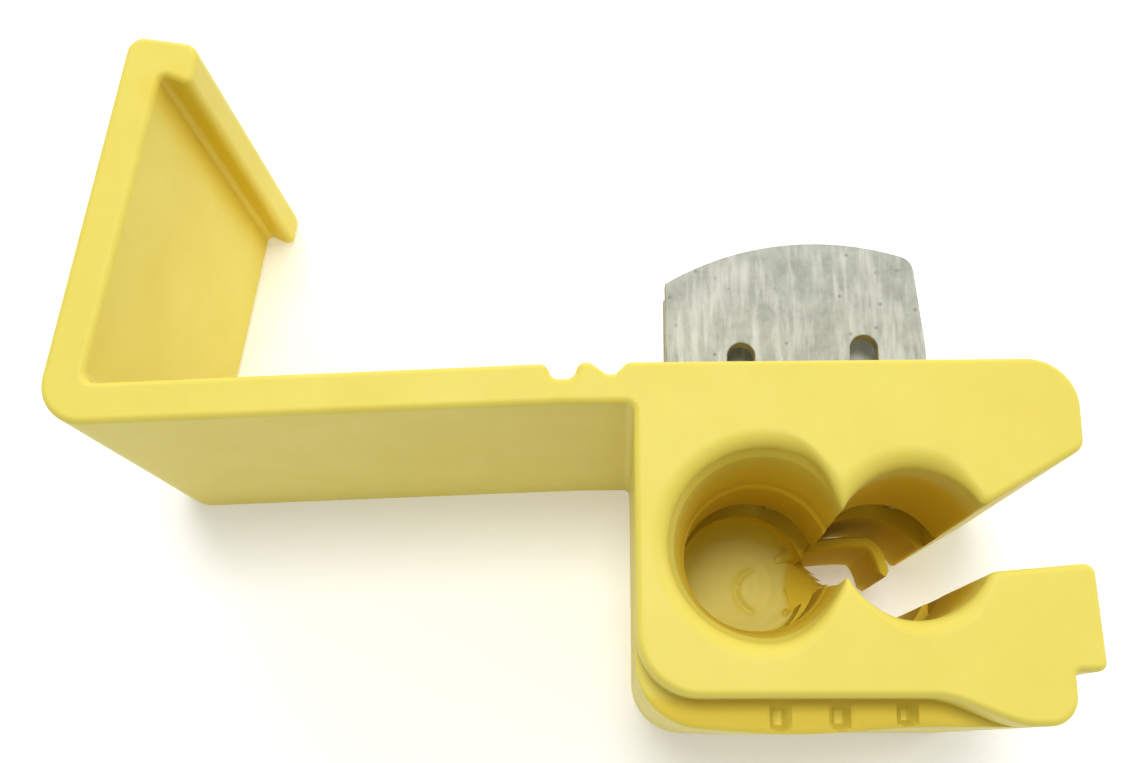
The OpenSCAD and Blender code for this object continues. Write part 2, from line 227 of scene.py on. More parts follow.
def tinPlatedBrass():
    # Brass strip, dull tin plated and blanked: a grey face mottled every 1.3 mm, with streaks 0.35 mm
    # wide from the plating barrel and dark specks 1.1 mm apart, and yellower sheared edges where the
    # brass shows
    material, tree = newMaterial("tinPlatedBrass")
    coordinates = addNode(tree, "ShaderNodeTexCoord")
    place = coordinates.outputs["Object"]
    cloud = addNode(tree, "ShaderNodeTexNoise", {"Scale": 1 / (1.3 * millimetre), "Detail": 6.0,
                                                 "Roughness": 0.65}, {"Vector": place})
    stretched = addNode(tree, "ShaderNodeMapping", {"Scale": (1.0, 0.16, 1.0)}, {"Vector": place})
    streak = addNode(tree, "ShaderNodeTexNoise", {"Scale": 1 / (0.35 * millimetre), "Detail": 4.0},
                     {"Vector": stretched.outputs["Vector"]})
    mottle = addNode(tree, "ShaderNodeMapRange", {"From Min": 0.35, "From Max": 0.65},
                     {"Value": cloud.outputs["Fac"]})
    lines = addNode(tree, "ShaderNodeMapRange", {"From Min": 0.45, "From Max": 0.7},
                    {"Value": streak.outputs["Fac"]})
    grey = addNode(tree, "ShaderNodeMix", {"data_type": "RGBA", 6: toLinear("#94968c"),
                                           7: toLinear("#b2b4aa")}, {0: mottle.outputs["Result"]})
    streaked = addNode(tree, "ShaderNodeMix", {"data_type": "RGBA", 7: toLinear("#d2d3cc")},
                       {0: lines.outputs["Result"], 6: grey.outputs[2]})
    half = addNode(tree, "ShaderNodeMix", {"data_type": "RGBA", 0: 0.55},
                   {6: grey.outputs[2], 7: streaked.outputs[2]})
    specks = addNode(tree, "ShaderNodeTexVoronoi", {"Scale": 1 / (1.1 * millimetre)}, {"Vector": place})
    dark = addNode(tree, "ShaderNodeMapRange", {"From Min": 0.05, "From Max": 0.12, "To Min": 0.55,
                                                "To Max": 0.0}, {"Value": specks.outputs["Distance"]})
    face = addNode(tree, "ShaderNodeMix", {"data_type": "RGBA", 7: toLinear("#6d6a5a")},
                   {0: dark.outputs["Result"], 6: half.outputs[2]})
    normal = addNode(tree, "ShaderNodeSeparateXYZ", None, {0: coordinates.outputs["Normal"]})
    size = addNode(tree, "ShaderNodeMath", {"operation": "ABSOLUTE"}, {0: normal.outputs["Z"]})
    sheared = addNode(tree, "ShaderNodeMapRange", {"From Min": 0.3, "From Max": 0.8, "To Min": 1.0,
                                                   "To Max": 0.0}, {"Value": size.outputs["Value"]})
    colour = addNode(tree, "ShaderNodeMix", {"data_type": "RGBA", 7: toLinear("#b3a688")},
                     {0: sheared.outputs["Result"], 6: face.outputs[2]})
    gloss = addNode(tree, "ShaderNodeMapRange", {"To Min": 0.5, "To Max": 0.72},
                    {"Value": cloud.outputs["Fac"]})
    fine = addNode(tree, "ShaderNodeBump", {"Strength": 0.45, "Distance": 0.015 * millimetre},
                   {"Height": streak.outputs["Fac"]})
    pitted = addNode(tree, "ShaderNodeBump", {"Strength": 0.4, "Distance": 0.03 * millimetre},
                     {"Height": cloud.outputs["Fac"], "Normal": fine.outputs["Normal"]})
    surface = addNode(tree, "ShaderNodeBsdfPrincipled", {"Metallic": 0.6},
                      {"Base Color": colour.outputs[2], "Roughness": gloss.outputs["Result"],
                       "Normal": pitted.outputs["Normal"]})
    addNode(tree, "ShaderNodeOutputMaterial", None, {"Surface": surface.outputs["BSDF"]})
    return material


plastic = mouldedPolypropylene()
tin = tinPlatedBrass()
print("materials ready")


# Steps and limits shared by the moulded pieces, in millimetres, radians and degrees
meshing = {
    "step": 0.35, "arcStep": 0.09, "endGuard": 0.04, "faceGuard": 0.05, "merge": 0.00005,
    "degenerate": 0.00002, "cutReach": 0.32, "cutLimit": 0.4, "creaseDegrees": 38.0, "flashDegrees": 60.0,
}


def spaced(span, step):
    # Even places along a stretch, with one more close to each end to hold the shading there
    guard = min(meshing["endGuard"], span / 5)
    even = np.linspace(0.0, span, max(2, int(np.ceil(span / step)) + 1))
    return np.unique(np.round(np.concatenate([even, [guard, span - guard]]), 7))


def unit(way):
    return np.array(way) / np.linalg.norm(way)


def leftOf(way):
    return np.array([-way[1], way[0]])


def alongCut(points, normals, crossing, cutWay):
    # Close to a cut the inward steps turn to keep to its line, as d / (n . d), so that the two pieces that
    # meet there stay closed
    cutWay = np.asarray(cutWay, float)
    dots = normals @ cutWay
    dots = np.where(dots < 0, -1.0, 1.0) * np.maximum(np.abs(dots), meshing["cutLimit"])
    share = 1 - smoothStep(np.linalg.norm(points - crossing, axis=1), 0.0, meshing["cutReach"])[:, None]
    return normals + share * (cutWay / dots[:, None] - normals)


def roundedChain(corners, step=meshing["step"]):
    # Straight stretches joined by arcs: a corner (x, y, r) becomes an arc of radius r that touches both
    # its stretches, r * tan(turn / 2) from the corner. Gives points and left-hand normals.
    corners = np.array(corners, float)
    places, radii = corners[:, :2], corners[:, 2]
    ways = np.diff(places, axis=0)
    ways /= np.linalg.norm(ways, axis=1)[:, None]
    turns = np.arctan2(ways[:-1, 0] * ways[1:, 1] - ways[:-1, 1] * ways[1:, 0],
                       np.sum(ways[:-1] * ways[1:], axis=1))
    cuts = np.append(radii[1:-1] * np.tan(np.abs(turns) / 2), 0.0)
    points, normals = [], []
    start = places[0]
    for index, way in enumerate(ways):
        stop = places[index + 1] - way * cuts[index]
        along = spaced(np.linalg.norm(stop - start), step)
        points.append(start + along[:, None] * way)
        normals.append(np.tile(leftOf(way), (len(along), 1)))
        if index == len(turns):
            break
        turn, radius = turns[index], radii[index + 1]
        angles = np.linspace(0.0, turn, max(5, int(abs(turn) / meshing["arcStep"])))[1:-1]
        left = leftOf(way)
        swung = np.stack([np.cos(angles) * left[0] - np.sin(angles) * left[1],
                          np.sin(angles) * left[0] + np.cos(angles) * left[1]], axis=1)
        points.append(stop + np.sign(turn) * radius * (left - swung))
        normals.append(swung)
        start = places[index + 1] + ways[index + 1] * cuts[index]
    return np.concatenate(points), np.concatenate(normals)


# Painted shade: each pair is a stretch over which the golden shade colour grows from nothing to its full
# share
paintedShadeShape = {
    "mouthZ": (19.4, 16.2), "tapReach": (4.6, 3.6), "runReach": (4.0, 3.4), "floorZ": (4.6, 7.0),
    "floorShare": 0.1, "toeShare": 0.7, "toeFrontZ": (19.0, 18.2), "toeBackZ": (17.2, 17.38),
    "toeY": (1.5, 1.1), "toeX": (17.0, 12.5), "creaseShare": 0.8, "creaseReach": (1.5, 0.3),
}


def paintedShadeShare(points):
    # How much painted shade, a golden colour, the plastic gets at a place, 0 to 1: most inside the two
    # ports, fading out at their mouths and on the tap floor, then in the toe recess and near the crease
    # under the latch lip
    ports, deep = portShape, paintedShadeShape
    x, y, z = (np.asarray(points, float) / millimetre - [originX, originY, 0.0]).T
    tapWay = np.hypot(x - ports["tapX"], y - ports["y"])
    runWay = np.hypot(x - ports["runX"], y - ports["y"])
    depth = smoothStep(z, *deep["mouthZ"])
    offFloor = deep["floorShare"] + (1 - deep["floorShare"]) * smoothStep(z, *deep["floorZ"])
    inTap = smoothStep(tapWay, *deep["tapReach"]) * depth * offFloor
    inRun = smoothStep(runWay, *deep["runReach"]) * depth
    inToe = deep["toeShare"] * smoothStep(z, *deep["toeFrontZ"]) * smoothStep(y, *deep["toeY"])
    inToe *= smoothStep(z, *deep["toeBackZ"]) * smoothStep(x, *deep["toeX"])
    creaseX, creaseY = coverShape["lipCrease"]
    creaseWay = np.hypot(x - creaseX, y - creaseY)
    inCrease = deep["creaseShare"] * smoothStep(creaseWay, *deep["creaseReach"])
    return np.maximum(np.maximum(inTap, inRun), np.maximum(inCrease, inToe))


def finishShading(mesh, sharpDegrees):
    # Smooth shading parted at sharp edges, and the share of painted shade that the plastic's colour reads
    mesh.polygons.foreach_set("use_smooth", np.ones(len(mesh.polygons), bool))
    mesh.set_sharp_from_angle(angle=np.radians(sharpDegrees))
    places = np.empty(len(mesh.vertices) * 3)
    mesh.vertices.foreach_get("co", places)
    if "paintedShadeAmount" in mesh.attributes:
        mesh.attributes.remove(mesh.attributes["paintedShadeAmount"])
    share = mesh.attributes.new("paintedShadeAmount", "FLOAT", "POINT")
    share.data.foreach_set("value", paintedShadeShare(places.reshape(-1, 3)).astype(np.float32))


def openEdges(work):
    return sum(1 for edge in work.edges if not edge.is_manifold)


def newMoulding(name, vertices, faces, sharpDegrees=meshing["creaseDegrees"]):
    # A closed plastic mesh with its doubles merged and its faces turned outwards
    mesh = bpy.data.meshes.new(name)
    mesh.from_pydata(inRow(vertices).tolist(), [], faces)
    mesh.validate()
    work = bmesh.new()
    work.from_mesh(mesh)
    bmesh.ops.remove_doubles(work, verts=work.verts, dist=meshing["merge"] * millimetre)
    bmesh.ops.dissolve_degenerate(work, edges=work.edges, dist=meshing["degenerate"] * millimetre)
    bmesh.ops.recalc_face_normals(work, faces=work.faces)
    if work.calc_volume(signed=True) < 0:
        bmesh.ops.reverse_faces(work, faces=work.faces)
    bare = [edge for edge in work.edges if not edge.link_faces]
    bmesh.ops.delete(work, geom=bare, context="EDGES")
    loose = openEdges(work)
    work.to_mesh(mesh)
    work.free()
    finishShading(mesh, sharpDegrees)
    mesh.materials.append(plastic)
    piece = bpy.data.objects.new(name, mesh)
    bpy.context.scene.collection.objects.link(piece)
    print(name, len(mesh.polygons), "faces,", loose, "open edges")
    return piece


def loftFaces(rows, columns):
    # Quads between closed rings laid one after another, and one face over each end
    ring = np.arange(columns)
    base = np.arange(rows - 1)[:, None] * columns
    first, second = base + ring, base + np.roll(ring, -1)
    quads = np.stack([first, second, second + columns, first + columns], axis=-1).reshape(-1, 4)
    ends = [ring[::-1].tolist(), (ring + (rows - 1) * columns).tolist()]
    return quads.tolist() + ends


def roundPhases(count=6):
    # Angles of a quarter round, from the end face to the side
    return np.radians(np.linspace(90.0, 0.0, count + 1))


def mouldedPrism(name, outline, inward, ends, rounds):
    # An outline carried along z from ends[0] to ends[1]. At each end it draws in by r(1 - cos t) along
    # its inward normals while z runs through the last r(1 - sin t), which rounds the edge.
    (low, high), (back, front), guard = ends, rounds, meshing["faceGuard"]
    phases = roundPhases()
    middle = np.linspace(high - front - guard, low + back + guard, 14)
    heights = np.concatenate([[high], high - front * (1 - np.sin(phases)), middle,
                              low + back * (1 - np.sin(phases[::-1])), [low]])
    draws = np.concatenate([[front + guard], front * (1 - np.cos(phases)), np.zeros(len(middle)),
                            back * (1 - np.cos(phases[::-1])), [back + guard]])
    drawnIn = outline[None] + draws[:, None, None] * inward[None]
    along = np.broadcast_to(heights[:, None, None], drawnIn.shape[:2] + (1,))
    vertices = np.concatenate([drawnIn, along], axis=2).reshape(-1, 3)
    return newMoulding(name, vertices, loftFaces(len(heights), len(outline)))


portShape = {
    "y": 7.6, "tapX": 5.6, "runX": 11.8, "tapRadius": 3.55, "stepRadius": 3.42, "tapInner": 3.3,
    "runRadius": 3.25, "stepZ": 14.95, "stepHalf": 0.28, "widenZ": (15.2, 17.5), "floorZ": 4.5,
    "floorFillet": 0.1, "softFillet": 1.1, "filletShare": 0.98, "tapRim": 0.8, "tapFunnel": 0.62,
    "runRim": 0.9, "lowerRim": 0.75, "throatRim": 0.4, "cuspRim": 0.35, "backRim": 0.8,
    "cuspReach": 0.22, "throatReach": 0.3,
}

# Each step down the toe wall: its way along z from that wall, and the share of the recess it keeps
toeShape = {
    "lift": 1.18, "liftY": (2.7, 9.0), "z": 17.4, "runOut": (12.2, 16.3),
    "bulge": 0.3, "bulgeX": (0.9, 12.6), "bulgeY": 2.7, "bulgeBack": 0.35,
    "notchX": (6.12, 8.72, 11.55), "notchHalf": 0.5, "notchDepth": 0.9, "notchY": 0.5,
    "notchFront": (0.97, 0.7), "notchBack": (0.05, 0.3),
    "steps": [(0.10, 1.0), (0.03, 0.975), (0.0, 0.93), (-0.006, 0.82), (-0.012, 0.7), (-0.018, 0.6),
              (-0.024, 0.5), (-0.03, 0.4), (-0.036, 0.3), (-0.042, 0.2), (-0.06, 0.12), (-0.11, 0.05),
              (-0.18, 0.012)],
}
ringShape = {
    "draw": 0.04, "toeZ": (18.65, 18.4, 18.0), "wallZ": (17.1, 16.7, 16.3, 15.9, 15.55), "boreZ": 14.4,
    "backZ": (4.35, 3.6, 2.6, 1.7, 1.0), "filletTurn": 1.12,
    "arcPoints": 46, "tapPoints": 130, "cornerPoints": 5, "jawPoints": 16,
}

# Shares of a port's arc over which the rounding of its rim, or the tap port's mouth, changes
rimShape = {
    "lowerGrows": (0.0, 0.3), "lowerShrinks": (0.55, 0.85), "upperShrinks": (0.62, 1.0),
    "tapGrows": (0.0, 0.16), "mouthOpens": (0.0, 0.22), "mouthCloses": (1.0, 0.86),
}
floorMarks = {
    "toolPitch": 0.62, "toolHeight": 0.006, "toolFade": (3.1, 2.2),
    "ringCentre": (6.75, 7.35), "ringRadius": 1.15, "ringWidth": 0.16, "ringDepth": 0.16,
    "ringOpening": (-0.1, 0.7), "pits": [(8.2, 6.2, 0.14), (8.45, 7.35, 0.17)], "pitDepth": 0.3,
    "firstRings": (0.0, 0.05), "lastRings": (1.0, 0.93),
}


def housingChains():
    # Outer outline in two chains: from the upper throat round the top to the first hinge groove, and
    # from under that groove round the foot to the lower throat
    shape, radii = housingShape, housingShape["cornerRadii"]
    top, small = shape["height"], radii["small"]
    upper = roundedChain([
        (*shape["upperThroat"], 0.0), (shape["width"], top - shape["upperJawEnd"], radii["jawTip"]),
        (shape["width"], top, radii["topRight"]),
        (*coverShape["housingEdge"], radii["hingeEdge"]), (*coverShape["innerCut"], 0.0)])
    lower = roundedChain([
        (coverShape["innerCut"][0], top - coverShape["thickness"], 0.0),
        (0.0, top - coverShape["thickness"], small), (0.0, 0.0, radii["bottomLeft"]),
        (shape["footX"], 0.0, radii["foot"]), (shape["footX"], shape["ledgeY"], radii["underLedge"]),
        (shape["ledgeX"], shape["ledgeY"], small),
        (shape["width"], shape["lowerJawY"], radii["lowerJaw"]),
        (*shape["lowerThroat"], 0.0)], shape["footStep"])
    return (upper[0], alongCut(*upper, upper[0][-1], (0.0, 1.0))), lower


def housingRows():
    # One entry a ring, from the front face to the back: z, the phases of the front and back rounding,
    # the tap port's radius, how far the toe recess is drawn, and how far the tap floor is closed
    ports, ring, toeZ = portShape, ringShape, toeShape["z"]
    stepZ, wide, narrow = ports["stepZ"], ports["stepRadius"], ports["tapInner"]
    fillet, softFillet, floorZ = ports["floorFillet"], ports["softFillet"], ports["floorZ"]
    phases = roundPhases(8)
    rows = [dict(z=housingShape["length"], front=phase) for phase in np.append(phases[0], phases)]
    rows[0]["draw"] = ring["draw"]
    rows += [dict(z=z) for z in (*ring["toeZ"], toeZ + 0.25)]
    rows += [dict(z=toeZ + way, toe=share) for way, share in toeShape["steps"]]
    rows += [dict(z=z, toe=0.0) for z in ring["wallZ"]]
    for s in np.linspace(0.0, 1.0, 9):
        radius = wide + (narrow - wide) * smoothStep(s, 0, 1)
        rows.append(dict(z=stepZ + ports["stepHalf"] * (1 - 2 * s), tap=radius, toe=0.0))
    filletTop = floorZ + softFillet + 0.1
    rows += [dict(z=z, tap=narrow, toe=0.0) for z in np.linspace(ring["boreZ"], filletTop, 8)]
    rows += [dict(z=floorZ + softFillet * (1 - np.sin(phase)), tap=narrow, toe=0.0)
             for phase in np.linspace(0.0, ring["filletTurn"], 7)]
    for phase in np.linspace(0.0, np.pi / 2, 6):
        rows.append(dict(z=floorZ + fillet * (1 - np.sin(phase)),
                         tap=narrow - fillet * (1 - np.cos(phase)), toe=0.0))
    narrow -= fillet
    rows += [dict(z=floorZ, tap=narrow, toe=0.0, floor=share) for share in np.linspace(0.015, 1.0, 48)]
    rows += [dict(z=z, tap=narrow, toe=0.0, floor=1.0) for z in ring["backZ"]]
    rows += [dict(z=0.0, back=phase, tap=narrow, toe=0.0, floor=1.0)
             for phase in np.append(phases[::-1], phases[0])]
    rows[-1]["draw"] = ring["draw"]
    return rows


def floorRelief(points):
    # Height of the marks on the tap floor: cosine tool rings, a shallow ring mark exp(-(d / w)^2) deep,
    # open on its right, and two pits of the same form
    ports, marks = portShape, floorMarks
    x, y = points[..., 0], points[..., 1]
    radius = np.hypot(x - ports["tapX"], y - ports["y"])
    relief = marks["toolHeight"] * np.cos(radius * 2 * np.pi / marks["toolPitch"])
    relief = relief * smoothStep(radius, *marks["toolFade"])
    ringX, ringY = x - marks["ringCentre"][0], y - marks["ringCentre"][1]
    ring = np.exp(-((np.hypot(ringX, ringY) - marks["ringRadius"]) / marks["ringWidth"]) ** 2)
    relief -= marks["ringDepth"] * ring * smoothStep(-ringX, *marks["ringOpening"])
    for pitX, pitY, size in marks["pits"]:
        relief -= marks["pitDepth"] * np.exp(-(np.hypot(x - pitX, y - pitY) / size) ** 2)
    return relief


def jawPoints(chain, normal):
    # Which points of a chain lie on the straight jaw face that has this normal
    onJaw = np.all(np.abs(chain[1] - normal) < 1e-6, axis=1)
    return np.flatnonzero(onJaw & (chain[0][:, 0] > housingShape["jawsX"]))


def meetCircle(points, way, centre, radius):
    # Where the line from each point along way first meets the circle: a step of -b - sqrt(b^2 - d^2 + r^2),
    # with d the way from the centre and b its share along the line
    fromCentre = points - centre
    dot = np.sum(fromCentre * way, axis=1, keepdims=True)
    root = np.sqrt(dot ** 2 - np.sum(fromCentre ** 2, 1, keepdims=True) + radius ** 2)
    return points + way * (-dot - root)


def cusp(tapRadius, runRadius, side):
    # Where the circles of the two ports cross, above the line of centres (side 1) or below it (side -1)
    ports = portShape
    gap = ports["runX"] - ports["tapX"]
    x = (gap ** 2 + tapRadius ** 2 - runRadius ** 2) / (2 * gap)
    return np.concatenate([ports["tapX"] + x, ports["y"] + side * np.sqrt(tapRadius ** 2 - x ** 2)], 1)


def angleOf(points, centre):
    return np.arctan2(points[:, 1:] - centre[1], points[:, :1] - centre[0])


def arc(centre, radius, first, last, share):
    # Points on circles about a centre, turning from the first angle to the last
    angle = first + (last - first) * share
    return centre + radius[..., None] * np.stack([np.cos(angle), np.sin(angle)], 2)


def softCorner(before, corner, after, count=ringShape["cornerPoints"]):
    # Quadratic curve from before to after, drawn towards the corner
    s = np.linspace(0.0, 1.0, count + 2)[1:-1][None, :, None]
    return (1 - s) ** 2 * before[:, None] + 2 * s * (1 - s) * corner[:, None] + s ** 2 * after[:, None]


def rimRounds(s, t):
    # Rounding radius of the front rim, s from 0 to 1 along the run channel's two arcs and t along the
    # tap port's: small at the throat and the lower cusp, full between them and at the upper cusp
    ports, rim = portShape, rimShape
    throat, low, high, full = ports["throatRim"], ports["cuspRim"], ports["runRim"], ports["lowerRim"]
    lower = throat + (full - throat) * smoothStep(s, *rim["lowerGrows"]) \
        - (full - low) * smoothStep(s, *rim["lowerShrinks"])
    tap = low + (ports["tapRim"] - low) * smoothStep(t, *rim["tapGrows"])
    upper = high + (throat - high) * smoothStep(s, *rim["upperShrinks"])
    return lower, tap, upper


def tapRadii(rows, z, closed, t):
    # The tap port's radius at each ring and place round it. In front of the step it widens, and its
    # mouth opens out by f s^1.5, s from 0 at the step to 1 at the front. At the floor it meets the wall
    # in a fillet r(1 - sqrt(1 - c^2)). Mouth and fillet die out beside the cusps.
    ports = portShape
    given = np.array([row.get("tap", np.nan) for row in rows], float)[:, None]
    wider = (ports["tapRadius"] - ports["stepRadius"]) * smoothStep(z, *ports["widenZ"])
    radius = np.where(np.isnan(given), ports["stepRadius"] + wider, given)
    opening = np.clip((z - ports["stepZ"]) / (housingShape["length"] - ports["stepZ"]), 0, 1) ** 1.5
    offCusps = smoothStep(t, *rimShape["mouthOpens"]) * smoothStep(t, *rimShape["mouthCloses"])
    climb = np.clip((ports["floorZ"] + ports["softFillet"] - z) / ports["softFillet"], 0, 1)
    onWall = ports["softFillet"] * (1 - np.sqrt(1 - climb ** 2)) * (closed < 1e-9)
    onFloor = ports["softFillet"] * (closed > 1e-9) * (closed < 0.999)
    return radius, ports["tapFunnel"] * opening * offCusps, (onWall + onFloor) * offCusps


def shapeFoot(outer, base, z, toeMix):
    # The foot: lifted along the front for the toe recess and notched there, bulging by sin^2 behind it
    toe = toeShape
    x, y = base.T
    (liftLow, liftHigh), (bulgeLow, bulgeHigh) = toe["liftY"], toe["bulgeX"]
    lift = np.clip((liftHigh - y) / (liftHigh - liftLow), 0, 1) * (1 - smoothStep(x, *toe["runOut"]))
    swell = np.sin(np.pi * np.clip((x - bulgeLow) / (bulgeHigh - bulgeLow), 0, 1)) ** 2
    swell = swell * toe["bulge"] * np.clip((toe["bulgeY"] - y) / toe["bulgeY"], 0, 1)
    grown = toe["bulgeBack"] + (1 - toe["bulgeBack"]) * z / toe["z"]
    outer[..., 1] += toeMix * toe["lift"] * lift - (1 - toeMix) * swell * grown
    inNotch = sum(smoothStep(np.abs(x - place), toe["notchHalf"], toe["notchHalf"] * 0.25)
                  for place in toe["notchX"]) * (y < toe["notchY"])
    onSteps = smoothStep(toeMix, *toe["notchBack"]) * smoothStep(toeMix, *toe["notchFront"])
    outer[..., 2] -= toe["notchDepth"] * inNotch * onSteps


def housingSurface():
    # Every ring runs round the outside, in through the throat, round both ports and out again. Its port
    # arcs are worked out from the radii at that ring, so the cusps between the ports stay where the two
    # circles cross.
    ports, shape, ring = portShape, housingShape, ringShape
    rows = housingRows()

    def column(key, other):
        return np.array([row.get(key, other) for row in rows], float)[:, None]

    z, toeMix, closed, draw = column("z", 0), column("toe", 1.0), column("floor", 0), column("draw", 0)
    frontPhase, backPhase = column("front", 0), column("back", 0)
    isFront = np.array(["front" in row for row in rows])[:, None]
    isBack = np.array(["back" in row for row in rows])[:, None]

    def drawn(frontRound, backRound):
        # How far a ring is drawn in by the rounding of the end faces
        return (isFront * frontRound * (1 - np.cos(frontPhase)) + draw
                + isBack * backRound * (1 - np.cos(backPhase)))

    def depth(frontRound, backRound):
        return (z - isFront * frontRound * (1 - np.sin(frontPhase))
                + isBack * backRound * (1 - np.sin(backPhase)))

    def spread(stretch, rounds):
        # A stretch of points (rows, n, 2) with its z for the rounding radii given
        return np.concatenate([stretch, depth(*rounds)[..., None] + np.zeros(stretch.shape[:2] + (1,))], 2)

    # The outside, kept up to the jaw faces, which run straight to the throat and are worked out again
    edge, backRim = (shape["edgeRound"], shape["backRound"]), ports["backRim"]
    upper, lower = housingChains()
    outerDraw = drawn(*edge)[..., None]
    lowerEnd = jawPoints(lower, lower[1][-1]).min() + 1
    upperKeep = (upper[0] + outerDraw * upper[1])[:, jawPoints(upper, upper[1][0]).max():]
    lowerKeep = (lower[0] + outerDraw * lower[1])[:, :lowerEnd]
    upperTip = (shape["width"], shape["height"] - shape["upperJawEnd"])
    upperWay = unit(np.subtract(shape["upperThroat"], upperTip))
    lowerWay = unit(np.subtract(shape["lowerThroat"], (shape["width"], shape["lowerJawY"])))

    # The ports' radii, and the corners that their arcs run between
    s = np.linspace(0.0, 1.0, ring["arcPoints"])[None]
    t = np.linspace(0.0, 1.0, ring["tapPoints"])[None]
    lowerRound, tapRound, upperRound = rimRounds(s, t)
    lowerR = ports["runRadius"] + drawn(lowerRound, backRim)
    upperR = ports["runRadius"] + drawn(upperRound, backRim)
    tapR, mouth, fillet = tapRadii(rows, z, closed, t)
    tapR = tapR + drawn(tapRound, 0.0) + mouth - fillet * ports["filletShare"]
    centreRun = np.array([ports["runX"], ports["y"]])
    centreTap = np.array([ports["tapX"], ports["y"]])
    lowPoint = cusp(tapR[:, :1], lowerR[:, -1:], -1)
    highPoint = cusp(tapR[:, -1:], upperR[:, :1], 1)
    lowThroat = meetCircle(lowerKeep[:, -1], lowerWay, centreRun, lowerR[:, :1])
    highThroat = meetCircle(upperKeep[:, 0], upperWay, centreRun, upperR[:, -1:])

    # The arcs, each stopping short of its corners by a reach along the wall
    cuspReach, throatReach, fullTurn = ports["cuspReach"], ports["throatReach"], 2 * np.pi
    lowerArc = arc(centreRun, lowerR, angleOf(lowThroat, centreRun) - throatReach / lowerR[:, :1],
                   angleOf(lowPoint, centreRun) + cuspReach / lowerR[:, -1:], s)
    tapArc = arc(centreTap, tapR, angleOf(lowPoint, centreTap) - cuspReach / tapR[:, :1],
                 angleOf(highPoint, centreTap) - fullTurn + cuspReach / tapR[:, -1:], t)
    upperArc = arc(centreRun, upperR, angleOf(highPoint, centreRun) - cuspReach / upperR[:, :1],
                   angleOf(highThroat, centreRun) + throatReach / upperR[:, -1:], s)
    lowJawEnd = lowThroat - throatReach * lowerWay
    highJawEnd = highThroat - throatReach * upperWay
    tapStretch = np.concatenate([softCorner(lowerArc[:, -1], lowPoint, tapArc[:, 0]), tapArc,
                                 softCorner(tapArc[:, -1], highPoint, upperArc[:, 0])], 1)

    # Behind the tap floor the same points lie on the run channel's left wall
    firstAngle = angleOf(lowerArc[:, -1], centreRun)
    lastAngle = angleOf(upperArc[:, 0], centreRun) - fullTurn
    share = np.linspace(0.0, 1.0, tapStretch.shape[1] + 2)[1:-1][None]
    wallR = np.broadcast_to(lowerR[:, -1:], (len(rows), share.shape[1]))
    wall = arc(centreRun, wallR, firstAngle, lastAngle, share)
    portStretch = tapStretch + closed[..., None] * (wall - tapStretch)
    oneCorner = (1, ring["cornerPoints"])
    portRounds = np.concatenate([np.full(oneCorner, ports["cuspRim"]), tapRound,
                                 np.full(oneCorner, ports["runRim"])], 1)
    port = spread(portStretch, (portRounds, 0.0))
    behind = (z[:, 0] < ports["floorZ"] + 0.01) & (closed[:, 0] > 0)
    port[behind, :, 2] = depth(portRounds, backRim)[behind]
    onFloor = (closed[:, 0] > 0) & (z[:, 0] > ports["floorZ"] - 0.01)
    fade = smoothStep(closed[onFloor], *floorMarks["firstRings"])
    fade *= smoothStep(closed[onFloor], *floorMarks["lastRings"])
    port[onFloor, :, 2] += floorRelief(port[onFloor, :, :2]) * fade

    jawSteps = np.linspace(0.0, 1.0, ring["jawPoints"])[None, 1:, None]
    lowJaw = lowerKeep[:, -1:] + jawSteps * (lowJawEnd - lowerKeep[:, -1])[:, None]
    highJaw = highJawEnd[:, None] + (1 - jawSteps[:, ::-1]) * (upperKeep[:, 0] - highJawEnd)[:, None]
    lowSoft = softCorner(lowJawEnd, lowThroat, lowerArc[:, 0])
    highSoft = softCorner(upperArc[:, -1], highThroat, highJawEnd)
    outside = spread(lowerKeep, edge)
    shapeFoot(outside, lower[0][:lowerEnd], z, toeMix)
    throatRounds = (ports["throatRim"], backRim)
    return np.concatenate([
        outside, spread(lowJaw, edge), spread(lowSoft, throatRounds),
        spread(lowerArc, (lowerRound, backRim)), port, spread(upperArc, (upperRound, backRim)),
        spread(highSoft, throatRounds), spread(highJaw, edge), spread(upperKeep[:, 1:], edge)], 1)


pocketShape = {"left": 1.65, "right": 15.05, "floor": 1.95, "z": (7.25, 10.85), "flare": 0.22}


def cutPocket(piece):
    # The pocket that the contact slides in, cut out of the moulding: an oblong along x, flared at the
    # top face
    pocket, top = pocketShape, housingShape["height"]
    (back, front), flare = pocket["z"], pocket["flare"]
    profile = np.array([
        (back, pocket["floor"]), (front, pocket["floor"]), (front, top - flare),
        (front + 2 * flare, top + flare), (back - 2 * flare, top + flare), (back, top - flare)])
    sides = [np.column_stack([np.full(len(profile), x), profile[:, 1], profile[:, 0]])
             for x in (pocket["left"], pocket["right"])]
    mesh = bpy.data.meshes.new("pocketCutter")
    mesh.from_pydata(inRow(np.vstack(sides)).tolist(), [], loftFaces(2, len(profile)))
    work = bmesh.new()
    work.from_mesh(mesh)
    bmesh.ops.recalc_face_normals(work, faces=work.faces)
    work.to_mesh(mesh)
    work.free()
    cutter = bpy.data.objects.new("pocketCutter", mesh)
    bpy.context.scene.collection.objects.link(cutter)
    cut = piece.modifiers.new("pocket", "BOOLEAN")
    cut.operation, cut.solver, cut.object = "DIFFERENCE", "EXACT", cutter
    finished = piece.evaluated_get(bpy.context.evaluated_depsgraph_get())
    result = bpy.data.meshes.new_from_object(finished)
    piece.modifiers.clear()
    uncut, piece.data = piece.data, result
    result.name = piece.name
    bpy.data.meshes.remove(uncut)
    bpy.data.meshes.remove(mesh)
    work = bmesh.new()
    work.from_mesh(result)
    loose = openEdges(work)
    work.free()
    finishShading(result, meshing["creaseDegrees"])
    print("pocket cut,", len(result.polygons), "faces,", loose, "open edges")


